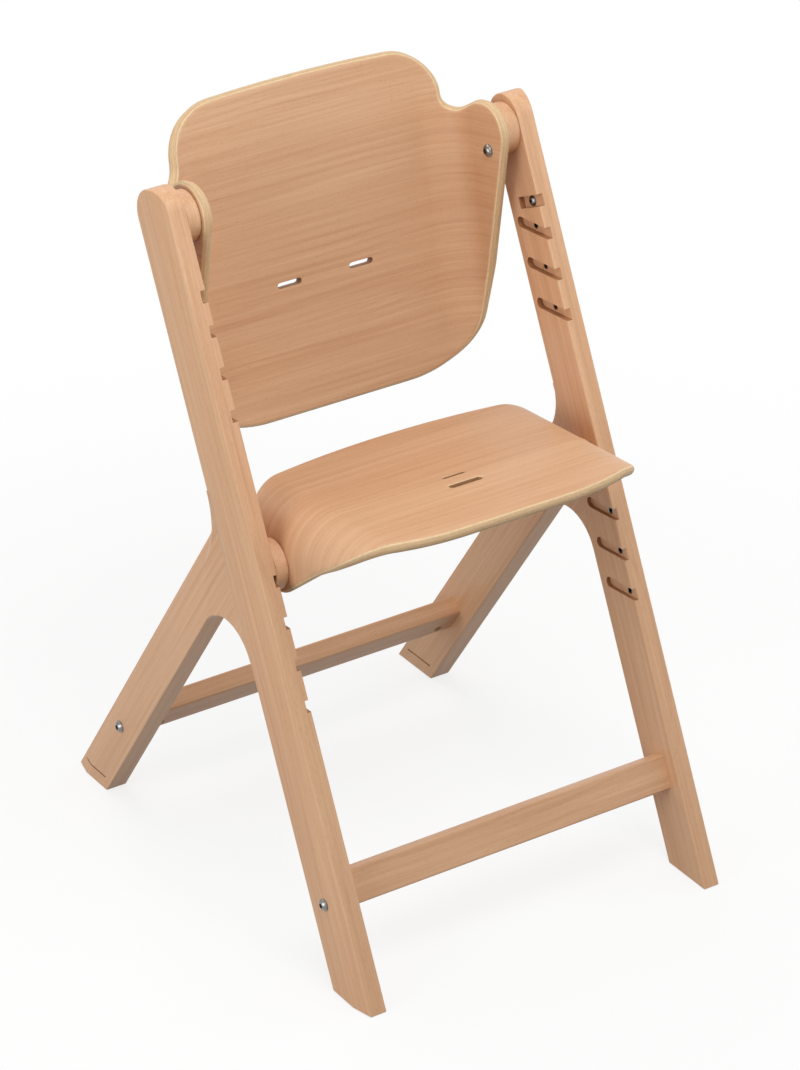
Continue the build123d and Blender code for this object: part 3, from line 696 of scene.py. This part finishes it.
@dataclass
class SideFrames:
    """The two leaning rails with the legs glued to them.

    Angles are in degrees. `inner` and `outer` are measured from the chair's middle: to
    the rails' inner face, and to a line in the rails that no slot reaches.
    """

    lean: float = RAIL_LEAN
    kick: float = 34.4
    width: float = 57.0 * MM
    foot: float = -298.0 * MM
    inner: float = 204.5 * MM
    outer: float = 215.0 * MM
    slot_d: float = 7.5 * MM
    wall_d: float = 3.0 * MM
    slit_low: float = 8.0 * MM
    slit_high: float = 30.0 * MM
    round_r: float = 1.3 * MM
    steps: int = 3
    level: float = 0.4
    corner: float = 28.0
    crease: float = 34.0
    large: float = 14.0 * MM * MM
    flush: float = 0.01 * MM
    touch: float = 0.1 * MM
    parallel: float = 0.999
    lying: float = 0.95
    upright: float = 0.3
    rail_offset: float = 0.7
    leg_offset: float = 2.3
    side_offset: float = 0.31
    up: Vector = field(init=False)
    back: Vector = field(init=False)
    leg_up: Vector = field(init=False)
    leg_back: Vector = field(init=False)

    def __post_init__(self) -> None:
        """Works out the directions of rail and leg."""
        lean, kick = math.radians(self.lean), math.radians(self.kick)
        self.up = Vector((0, math.sin(lean), math.cos(lean)))
        self.back = Vector((0, math.cos(lean), -math.sin(lean)))
        self.leg_up = Vector((0, -math.sin(kick), math.cos(kick)))
        self.leg_back = Vector((0, math.cos(kick), math.sin(kick)))

    def on_rail(self, point: Vector) -> Flat:
        """Distance of a point up the rail, and back from the rail's front edge."""
        reach = point - Vector((0, self.foot, 0))
        return reach.dot(self.up), reach.dot(self.back)

    def glued(self, leg: bmesh.types.BMesh) -> Flat:
        """Stretch of the rail's back edge that the leg is glued to.

        Args:
            leg: The leg's mesh.

        Returns:
            Lower and upper end, up the rail.
        """
        spots = [self.on_rail(vert.co) for vert in leg.verts]
        joined = [along for along, across in spots if abs(across - self.width) < self.touch]
        return min(joined), max(joined)

    def ease(self, mesh: bmesh.types.BMesh, chosen: Sequence[bmesh.types.BMEdge]) -> None:
        """Rounds the chosen edges.

        Args:
            mesh: The mesh, which is changed.
            chosen: The edges.
        """
        bmesh.ops.bevel(
            mesh,
            geom=chosen,
            offset=self.round_r,
            offset_type="OFFSET",
            segments=self.steps,
            profile=0.5,
            affect="EDGES",
            clamp_overlap=False,
        )

    def tidy(self, mesh: bmesh.types.BMesh) -> None:
        """Joins the level faces of a mesh.

        Args:
            mesh: The mesh, which is changed.
        """
        bmesh.ops.dissolve_limit(
            mesh,
            angle_limit=math.radians(self.level),
            verts=mesh.verts[:],
            edges=mesh.edges[:],
        )
        mesh.normal_update()

    def sharp(self, edge: bmesh.types.BMEdge) -> bool:
        """Tells the edges where two large faces meet at an angle.

        Args:
            edge: The edge.

        Returns:
            Whether it may be rounded.
        """
        if len(edge.link_faces) != 2 or edge.calc_face_angle(0.0) < math.radians(self.corner):
            return False
        return all(face.calc_area() > self.large for face in edge.link_faces)

    def on_outline(self, face: bmesh.types.BMFace) -> bool:
        """Whether a rail's face belongs to its outline, not to a slot or bore."""
        reach = max(abs(vert.co.x) for vert in face.verts)
        return reach - self.inner < self.flush or reach > self.outer

    def open_on_rail(self, edge: bmesh.types.BMEdge, joint: Flat) -> bool:
        """Tells the edges of a rail that are rounded.

        Args:
            edge: An edge of the rail.
            joint: Stretch that the leg is glued to.

        Returns:
            Whether it is an edge of the outline away from the glued joint.
        """
        if not self.sharp(edge) or not all(self.on_outline(face) for face in edge.link_faces):
            return False
        low, high = joint[0] - self.flush, joint[1] + self.flush
        ends = [self.on_rail(vert.co) for vert in edge.verts]
        return not all(
            across > self.width - self.touch and low <= along <= high for along, across in ends
        )

    def open_on_leg(self, face: bmesh.types.BMFace) -> bool:
        """Tells the faces of a leg outside the glued joint and the foot's slit.

        Args:
            face: A face of the leg.

        Returns:
            Whether its edges may be rounded.
        """
        way = face.normal
        if max(abs(way.dot(self.back)), abs(way.dot(self.up))) > self.parallel:
            return False
        heights = [vert.co.z for vert in face.verts]
        inside = min(heights) > self.slit_low and max(heights) < self.slit_high
        return not (inside and abs(way.z) > self.lying)

    def rail(self, side: Side, joint: Flat) -> bpy.types.Object:
        """Builds one rail with eased edges.

        Args:
            side: Which side.
            joint: Stretch that the leg is glued to.

        Returns:
            The rail, with the walls of its slots in a second material.
        """
        name = f"front_rail_{side.word()}"
        mesh = welded(name)
        self.tidy(mesh)
        for along in joint:
            cut(mesh, Vector((0, self.foot, 0)) + self.up * along, self.up, JOIN)
        mesh.normal_update()
        self.ease(mesh, [edge for edge in mesh.edges if self.open_on_rail(edge, joint)])
        # slot walls get the second material, darker partly for milled end grain and partly as
        # painted shade of the recess
        for face in mesh.faces:
            reach = [abs(vert.co.x) for vert in face.verts]
            deep = max(reach) - min(reach) > self.wall_d and max(reach) < self.inner + self.slot_d
            face.material_index = int(deep and abs(face.normal.x) < self.upright)
        return self.finish(name, mesh)

    def leg(self, side: Side, mesh: bmesh.types.BMesh) -> bpy.types.Object:
        """Builds one leg with eased edges.

        Args:
            side: Which side.
            mesh: The leg's mesh, which is changed.

        Returns:
            The leg.
        """
        self.tidy(mesh)
        chosen = [
            edge
            for edge in mesh.edges
            if self.sharp(edge) and all(self.open_on_leg(face) for face in edge.link_faces)
        ]
        self.ease(mesh, chosen)
        return self.finish(f"rear_leg_{side.word()}", mesh)

    def finish(self, node: str, mesh: bmesh.types.BMesh) -> bpy.types.Object:
        """Turns a mesh into the piece that stands for a solid.

        Args:
            node: The solid's name.
            mesh: The finished mesh.

        Returns:
            The piece.
        """
        mesh.normal_update()
        for face in mesh.faces:
            face.smooth = True
        for edge in mesh.edges:
            edge.smooth = edge.calc_face_angle(0.0) < math.radians(self.crease)
        done = bpy.data.meshes.new(f"{node}_eased")
        mesh.to_mesh(done)
        mesh.free()
        piece = show(f"{node}_eased", done)
        steady(piece)
        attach(piece, "frame")
        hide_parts(node)
        return piece

    def build(self) -> list[bpy.types.Object]:
        """Builds and dresses both sides.

        Returns:
            The four pieces.
        """
        pieces = []
        for side in Side:
            leg_mesh = welded(f"rear_leg_{side.word()}")
            joint = self.glued(leg_mesh)
            rail = self.rail(side, joint)
            leg = self.leg(side, leg_mesh)
            shift = self.side_offset * side.value
            rail_grain = Grain(tuple(self.up), tuple(self.back), self.rail_offset + shift)
            leg_grain = Grain(tuple(self.leg_up), tuple(self.leg_back), self.leg_offset + shift)
            dress(rail, BeechFinish(f"beech_rail_{side.word()}", rail_grain).make())
            # darker slot walls: partly milled end grain, partly painted shade of the slots'
            # recesses
            walls = BeechFinish(f"beech_slots_{side.word()}", rail_grain, MilledShadeTones())
            rail.data.materials.append(walls.make())
            dress(leg, BeechFinish(f"beech_leg_{side.word()}", leg_grain).make())
            pieces += [rail, leg]
        return pieces


@dataclass(frozen=True)
class Rim:
    """How a rim's line is drawn, and which way the sheet lies from it.

    `flank` is the level band beside its rounding; `inwards` is 1 for the sheet's
    outline and -1 for a hole.
    """

    pitch: float
    passes: int
    flank: float
    inwards: int
    fewest: int = 24
    steps: int = 5


@dataclass
class MouldedPanel:
    """A plywood sheet with one bend towards each side and a rounded rim.

    Angles are in degrees. `hole_r` is the rounding of a hole's rim as a share of the
    hole's height, and `grow` is 1 where the sheet's thickness lies outside its bends.
    """

    node: str
    body: str
    origin: Vector
    along: Vector
    rise: Vector
    flat: float
    level: float
    radius: float
    grow: int
    thick: float = PLY_THICK
    round_r: float = 5.2 * MM
    hole_r: float = 0.12
    offset: float = 0.0
    outline_rim: Rim = Rim(2.4 * MM, 2, 2.0 * MM, 1)
    hole_rim: Rim = Rim(0.8 * MM, 1, 0.8 * MM, -1)
    corner: float = 40.0
    crease: float = 50.0
    on_face: float = 0.06 * MM
    fewest: int = 6
    flat_cuts: tuple[float, ...] = (0.0, 0.33, 0.66)
    bend_steps: int = 22
    past_bend: float = 20.0 * MM
    row_pitch: float = 24.0 * MM
    cut_near: float = 0.0001 * MM

    def unroll(self, point: Vector) -> Vector:
        """Finds a point's place in the flat sheet.

        Args:
            point: Point in the chair's frame.

        Returns:
            Distance across, up the sheet, and into it from its face.
        """
        reach = point - self.origin
        wide, high = abs(reach.x), reach.dot(self.rise) - self.level
        if high < 0:
            across = self.flat + self.radius * math.pi / 2 - high
            depth = wide - self.flat - self.radius
        elif wide <= self.flat:
            across, depth = wide, high - self.radius
        else:
            turn = math.atan2(wide - self.flat, high)
            across = self.flat + self.radius * turn
            depth = math.hypot(wide - self.flat, high) - self.radius
        return Vector((math.copysign(across, reach.x), reach.dot(self.along), depth * self.grow))

    def roll(self, place: Vector) -> Vector:
        """Puts a place of the flat sheet on the moulded form.

        Args:
            place: Distance across, up the sheet, and into it.

        Returns:
            The point in the chair's frame.
        """
        across, reach = abs(place.x), self.radius + self.grow * place.z
        bend = self.radius * math.pi / 2
        if across <= self.flat:
            wide, high = across, reach
        elif across <= self.flat + bend:
            turn = (across - self.flat) / self.radius
            wide, high = self.flat + reach * math.sin(turn), reach * math.cos(turn)
        else:
            wide, high = self.flat + reach, self.flat + bend - across
        side = Vector((math.copysign(wide, place.x), 0, 0))
        over = self.rise * (high + self.level)
        return self.origin + side + self.along * place.y + over

    def outlines(self) -> list[list[Flat]]:
        """Reads the outline and the holes of the sheet's face from the solid.

        Returns:
            Closed rows of places, the outline first.
        """
        mesh = welded(self.node)
        near = {}
        for edge in mesh.edges:
            if len(edge.link_faces) != 2 or edge.calc_face_angle(0.0) < math.radians(self.corner):
                continue
            if any(abs(self.unroll(vert.co).z) > self.on_face for vert in edge.verts):
                continue
            first, second = edge.verts
            near.setdefault(first.index, []).append(second.index)
            near.setdefault(second.index, []).append(first.index)
        mesh.verts.ensure_lookup_table()
        rows, left = [], set(near)
        while left:
            start = min(left)
            row, here, last = [start], start, None
            left.discard(start)
            while True:
                ahead = [spot for spot in near[here] if spot != last and spot in left]
                if not ahead:
                    break
                last, here = here, ahead[0]
                left.discard(here)
                row.append(here)
            places = [self.unroll(mesh.verts[spot].co) for spot in row]
            rows.append([(place.x, place.y) for place in places])
        mesh.free()
        rows = [row for row in rows if len(row) >= self.fewest]
        rows.sort(key=lambda row: min(spot[1] for spot in row) - max(spot[1] for spot in row))
        return rows

    def even(self, row: Sequence[Flat], rim: Rim) -> list[Flat]:
        """Spaces a closed row evenly and smooths its facets.

        Args:
            row: The closed row.
            rim: Spacing and number of smoothing passes.

        Returns:
            The new row, turning left.
        """
        ring = list(row) + [row[0]]
        lengths = [math.dist(one, two) for one, two in zip(ring, ring[1:])]
        total = sum(lengths)
        count = max(rim.fewest, round(total / rim.pitch))
        spaced, index, passed = [], 0, 0.0
        for number in range(count):
            goal = total * number / count
            while passed + lengths[index] < goal:
                passed += lengths[index]
                index += 1
            part = (goal - passed) / lengths[index]
            one, two = ring[index], ring[index + 1]
            spaced.append((one[0] + (two[0] - one[0]) * part, one[1] + (two[1] - one[1]) * part))
        for _ in range(rim.passes):
            behind, ahead = spaced[-1:] + spaced[:-1], spaced[1:] + spaced[:1]
            spaced = [
                tuple((before[k] + 2 * here[k] + after[k]) / 4 for k in (0, 1))
                for before, here, after in zip(behind, spaced, ahead)
            ]
        area = sum(
            one[0] * two[1] - two[0] * one[1]
            for one, two in zip(spaced, spaced[1:] + spaced[:1])
        )
        return spaced if area > 0 else spaced[::-1]

    def sections(self, row: Sequence[Flat], radius: float, rim: Rim) -> list[list[Vector]]:
        """Sections of a rounded rim, from the face to the back of the sheet.

        Args:
            row: The rim's line, turning left.
            radius: Radius of its rounding.
            rim: Its level band, its steps and the way inwards.

        Returns:
            One row of places for each section.
        """
        ways = []
        for before, after in zip(row[-1:] + row[:-1], row[1:] + row[:1]):
            run = Vector((after[0] - before[0], after[1] - before[1])).normalized()
            ways.append(Vector((-run.y, run.x)) * rim.inwards)
        profile = [(radius + rim.flank, 0.0)]
        for number in range(rim.steps + 1):
            turn = math.pi / 2 * number / rim.steps
            profile.append((radius * (1 - math.sin(turn)), radius * (1 - math.cos(turn))))
        profile += [(inset, self.thick - depth) for inset, depth in reversed(profile)]
        return [
            [
                Vector((spot[0] + way.x * inset, spot[1] + way.y * inset, depth))
                for spot, way in zip(row, ways)
            ]
            for inset, depth in profile
        ]

    def flat_sheet(self) -> bmesh.types.BMesh:
        """Builds the sheet flat, with its rims rounded.

        Returns:
            The flat sheet, with the roundings of its holes in a layer.
        """
        mesh = bmesh.new()
        mark = mesh.verts.layers.float.new(HOLE)
        caps = ([], [])
        for number, row in enumerate(self.outlines()):
            rim, radius, note = self.outline_rim, self.round_r, 0.0
            if number > 0:
                high = [spot[1] for spot in row]
                radius = self.hole_r * (max(high) - min(high))
                rim, note = self.hole_rim, radius / MM
            sections = self.sections(self.even(row, rim), radius, rim)
            rings = [[mesh.verts.new(place) for place in section] for section in sections]
            for vert in [vert for ring in rings for vert in ring]:
                vert[mark] = note
            for one, two in zip(rings, rings[1:]):
                for k in range(len(one)):
                    after = (k + 1) % len(one)
                    mesh.faces.new((one[k], one[after], two[after], two[k]))
            for cap, ring in zip(caps, (rings[0], rings[-1])):
                for one, two in zip(ring, ring[1:] + ring[:1]):
                    cap.append(mesh.edges.get((one, two)))
        for cap in caps:
            bmesh.ops.triangle_fill(
                mesh,
                use_beauty=True,
                use_dissolve=False,
                edges=cap,
                normal=UPWARDS,
            )
        return mesh

    def shape(self) -> bpy.types.Mesh:
        """Cuts the flat sheet where it bends, and moulds it.

        Returns:
            The sheet's mesh, with its flat places in a layer.
        """
        mesh = self.flat_sheet()
        self.divide(mesh)
        bmesh.ops.recalc_face_normals(mesh, faces=mesh.faces[:])
        mesh.verts.ensure_lookup_table()
        places = [vert.co.copy() for vert in mesh.verts]
        for vert, place in zip(mesh.verts, places):
            vert.co = self.roll(place)
        mesh.normal_update()
        bmesh.ops.recalc_face_normals(mesh, faces=mesh.faces[:])
        done = bpy.data.meshes.new(f"{self.node}_moulded")
        mesh.to_mesh(done)
        mesh.free()
        layer = done.attributes.new(DEVELOPED, "FLOAT_VECTOR", "POINT")
        for number, place in enumerate(places):
            layer.data[number].vector = place
        smooth(done, self.crease)
        return done

    def divide(self, mesh: bmesh.types.BMesh) -> None:
        """Cuts the flat sheet finely in its bends and coarsely elsewhere.

        Args:
            mesh: The flat sheet, which is changed.
        """
        bend = self.radius * math.pi / 2
        lines = [self.flat * share for share in self.flat_cuts]
        lines.append(self.flat + bend + self.past_bend)
        for number in range(self.bend_steps + 1):
            lines.append(self.flat + bend * number / self.bend_steps)
        high = [vert.co.y for vert in mesh.verts]
        low, tall = min(high), max(high) - min(high)
        count = int(tall / self.row_pitch)
        for line in lines:
            for sign in (1, -1):
                cut(mesh, Vector((sign * line, 0, 0)), Vector(SIDEWAYS), self.cut_near)
        for number in range(1, count):
            spot = Vector((0, low + tall * number / count, 0))
            cut(mesh, spot, Vector(BACKWARDS), self.cut_near)

    def build(self) -> bpy.types.Object:
        """Builds and dresses the sheet.

        Returns:
            The sheet.
        """
        piece = show(f"{self.node}_moulded", self.shape())
        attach(piece, self.body)
        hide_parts(self.node)
        grain = MouldedGrain(self.offset)
        finish = PlywoodFinish(f"plywood_{self.node}", grain, thick=self.thick)
        dress(piece, finish.make())
        return piece


@dataclass
class Backrest(MouldedPanel):
    """The tilting backrest."""

    @classmethod
    def at_pivot(cls) -> "Backrest":
        """Places the backrest on its two bolts.

        Returns:
            The backrest.
        """
        lean = math.radians(BACK_LEAN)
        return cls(
            node="backrest",
            body="back",
            origin=Vector((0, 83.326 * MM, 733.266 * MM)),
            along=Vector((0, math.sin(lean), math.cos(lean))),
            rise=Vector((0, math.cos(lean), -math.sin(lean))),
            flat=137.0 * MM,
            level=28.7 * MM,
            radius=40.0 * MM,
            grow=1,
            offset=0.9,
        )


@dataclass
class Seat(MouldedPanel):
    """The seat, which hangs by its flanges."""

    @classmethod
    def in_slots(cls) -> "Seat":
        """Places the seat in its slots.

        Returns:
            The seat.
        """
        droop = math.radians(SEAT_DROOP)
        return cls(
            node="seat",
            body="seat",
            origin=Vector((0, -66.1 * MM, 418.8 * MM)),
            along=Vector((0, math.cos(droop), -math.sin(droop))),
            rise=Vector((0, math.sin(droop), math.cos(droop))),
            flat=138.5 * MM,
            level=12.8 * MM,
            radius=50.0 * MM,
            grow=-1,
            offset=3.4,
            hole_r=0.28,
        )


@dataclass
class TurnedParts:
    """Crossbars, spacers, keys and dowels, which keep their solids."""

    lean: float = RAIL_LEAN
    droop: float = SEAT_DROOP

    def build(self) -> list[bpy.types.Object]:
        """Dresses the solids.

        Returns:
            The pieces.
        """
        lean, droop = math.radians(self.lean), math.radians(self.droop)
        rail_up = (0.0, math.sin(lean), math.cos(lean))
        rail_back = (0.0, math.cos(lean), -math.sin(lean))
        slot_in = (0.0, math.cos(droop), -math.sin(droop))
        slot_over = (0.0, math.sin(droop), math.cos(droop))
        grains = {
            "front_crossbar": Grain(SIDEWAYS, UPWARDS, 4.1),
            "rear_crossbar": Grain(SIDEWAYS, UPWARDS, 5.6),
            "joint_dowels": Grain(BACKWARDS, SIDEWAYS, 1.0),
            "crossbar_dowels": Grain(SIDEWAYS, UPWARDS, 1.5),
            "back_spacer_left": Grain(rail_up, rail_back, 6.2),
            "back_spacer_right": Grain(rail_up, rail_back, 6.9),
            "seat_spacer_left": Grain(slot_in, slot_over, 7.3),
            "seat_spacer_right": Grain(slot_in, slot_over, 7.7),
            "slot_key_left": Grain(slot_in, slot_over, 8.2),
            "slot_key_right": Grain(slot_in, slot_over, 8.8),
        }
        pieces = []
        for node, grain in grains.items():
            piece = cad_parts[node]
            dress(piece, BeechFinish(f"beech_{node}", grain).make())
            pieces.append(piece)
        return pieces


@dataclass
class Hardware:
    """Bolts, screws, nuts and inserts, which keep their solids."""

    nodes: tuple[str, ...] = (
        "crossbar_bolts",
        "crossbar_nuts",
        "upper_slot_inserts",
        "lower_slot_inserts",
        "top_slot_screws",
        "pivot_inserts",
        "pivot_bolts",
        "seat_bolts",
    )

    def build(self) -> list[bpy.types.Object]:
        """Dresses the solids.

        Returns:
            The pieces.
        """
        steel = SteelFinish("satin_steel").make()
        pieces = []
        for node in self.nodes:
            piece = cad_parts[node]
            dress(piece, steel)
            pieces.append(piece)
        return pieces


@dataclass(frozen=True)
class Lamp:
    """A soft square lamp that faces the chair; its power is in watts."""

    name: str
    place: Point
    size: float
    power: float
    aim: Point = (0.0, 0.0, 0.4)

    def hang(self) -> None:
        """Hangs the lamp."""
        light = bpy.data.lights.new(self.name, "AREA")
        light.shape = "SQUARE"
        light.size = self.size
        light.energy = self.power
        lamp = bpy.data.objects.new(self.name, light)
        lamp.location = self.place
        look = Vector(self.aim) - Vector(self.place)
        lamp.rotation_euler = look.to_track_quat("-Z", "Y").to_euler()
        bpy.context.scene.collection.objects.link(lamp)


@dataclass
class Studio:
    """Pale floor, soft light, and the camera."""

    spot: Point = (-2.35092, -3.55489, 2.75123)
    look: Point = (0.48250, 0.72670, -0.48900)
    lens: float = 103.149
    sensor: float = 24.0
    farthest: float = 60.0
    floor_size: float = 14.0
    floor_drop: float = 0.4 * MM
    sky: float = 0.30
    sky_tint: Colour = (1.0, 0.995, 0.985, 1.0)
    lamps: tuple[Lamp, ...] = (
        Lamp("left", (-3.0, -0.4, 0.85), 2.2, 50.0),
        Lamp("right", (3.0, -0.3, 1.2), 2.4, 27.0),
        Lamp("front", (2.9, -2.4, 2.0), 2.6, 16.0),
        Lamp("near", (-0.3, -1.2, 2.5), 1.4, 23.5),
        Lamp("over", (0.1, -0.45, 1.5), 0.8, 2.5),
        Lamp("back", (-0.1, 2.2, 2.8), 2.6, 36.0),
    )

    def floor(self) -> None:
        """Lays the floor."""
        mesh = bmesh.new()
        bmesh.ops.create_grid(mesh, x_segments=2, y_segments=2, size=self.floor_size)
        done = bpy.data.meshes.new("floor")
        mesh.to_mesh(done)
        mesh.free()
        floor = show("floor", done)
        floor.location.z = -self.floor_drop
        dress(floor, FloorFinish().make())

    def world(self) -> None:
        """Fills the room with soft light and a white view."""
        world = bpy.data.worlds.new("studio")
        bpy.context.scene.world = world
        sheet = Sheet(world)
        sockets = {"Color": self.sky_tint, "Strength": self.sky}
        soft = sheet.term("ShaderNodeBackground", None, sockets)
        white = sheet.term("ShaderNodeBackground", None, {"Color": WHITE, "Strength": 1.0})
        sheet.node("ShaderNodeOutputWorld", None, {"Surface": sheet.seen().blend(soft, white)})

    def camera(self) -> None:
        """Sets up the camera at the photograph's angle."""
        data = bpy.data.cameras.new("camera")
        data.sensor_fit = "VERTICAL"
        data.sensor_height = self.sensor
        data.lens = self.lens
        data.clip_end = self.farthest
        camera = bpy.data.objects.new("camera", data)
        camera.location = self.spot
        camera.rotation_euler = Vector(self.look).to_track_quat("-Z", "Y").to_euler()
        bpy.context.scene.collection.objects.link(camera)
        bpy.context.scene.camera = camera

    def build(self) -> None:
        """Sets up the whole studio."""
        self.floor()
        self.world()
        for lamp in self.lamps:
            lamp.hang()
        self.camera()
        bpy.context.scene.view_settings.view_transform = "Standard"


def main() -> None:
    """Builds and dresses the chair, piece by piece, and sets up the studio."""
    logging.basicConfig(level=logging.INFO, format="%(name)s: %(message)s")
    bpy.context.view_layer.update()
    pieces = SideFrames().build()
    pieces.append(Backrest.at_pivot().build())
    pieces.append(Seat.in_slots().build())
    pieces += TurnedParts().build()
    pieces += Hardware().build()
    for piece in pieces:
        LOG.info("%s: %d faces", piece.name, len(piece.data.polygons))
    Studio().build()
    bpy.context.view_layer.update()


if __name__ == "__main__":
    main()
